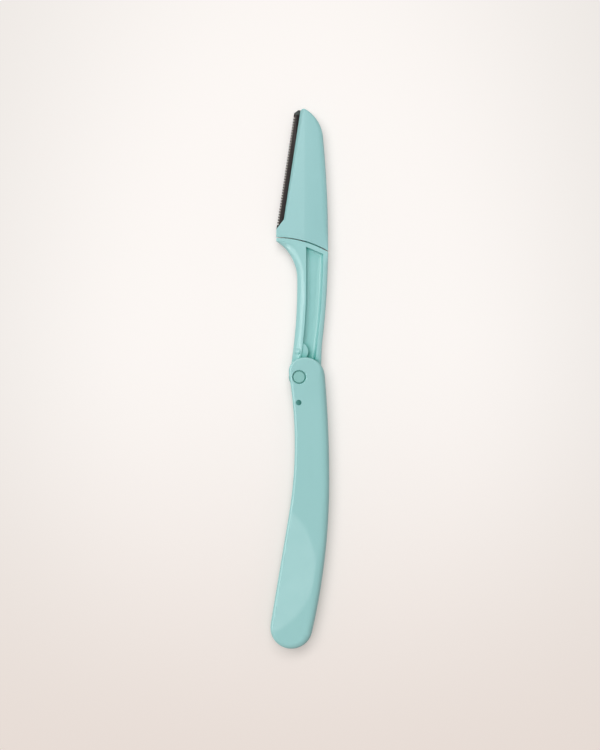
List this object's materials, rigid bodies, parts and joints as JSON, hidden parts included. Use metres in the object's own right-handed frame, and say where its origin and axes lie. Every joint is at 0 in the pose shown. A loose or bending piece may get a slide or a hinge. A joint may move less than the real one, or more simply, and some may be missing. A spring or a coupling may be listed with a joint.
{
  "type": "folding eyebrow razor",
  "caption": "Slim folding eyebrow razor: a tapering head with a guarded blade on a hollow-edged neck that swings on a pin into a slotted plastic handle.",
  "frame": {"origin": "on the pivot axis, in the plane of the handle's back face", "axes": "razor opened out: +Y runs from the handle to the blade's tip, +Z comes out of the front face, +X points to the spine edge, away from the cutting edge"},
  "size_m": [0.0171, 0.1567, 0.007],
  "materials": {
    "teal_plastic": "smooth moulded plastic, satin gloss",
    "pin_plastic": "smooth moulded plastic, satin gloss",
    "head_plastic": "smooth moulded plastic, satin gloss",
    "blade_steel": "ground and honed",
    "guard_steel": "thin black coating on folded sheet"
  },
  "bodies": {
    "handle": {"handle": "teal_plastic", "pivot_pin": "pin_plastic"},
    "arm": {"arm": "teal_plastic"},
    "blade_head": {"blade_head": "head_plastic", "blade": "blade_steel", "blade_guard": "guard_steel"}
  },
  "joints": [
    {"name": "fold", "type": "hinge", "parent": "handle", "child": "arm", "pos_m": [0, 0, 0.0035], "axis": [0, 0, 1], "range_deg": [0, 178]},
    {"name": "head_release", "type": "slide", "parent": "arm", "child": "blade_head", "axis": [0, 1, 0], "range_m": [0, 0.0075]}
  ]
}
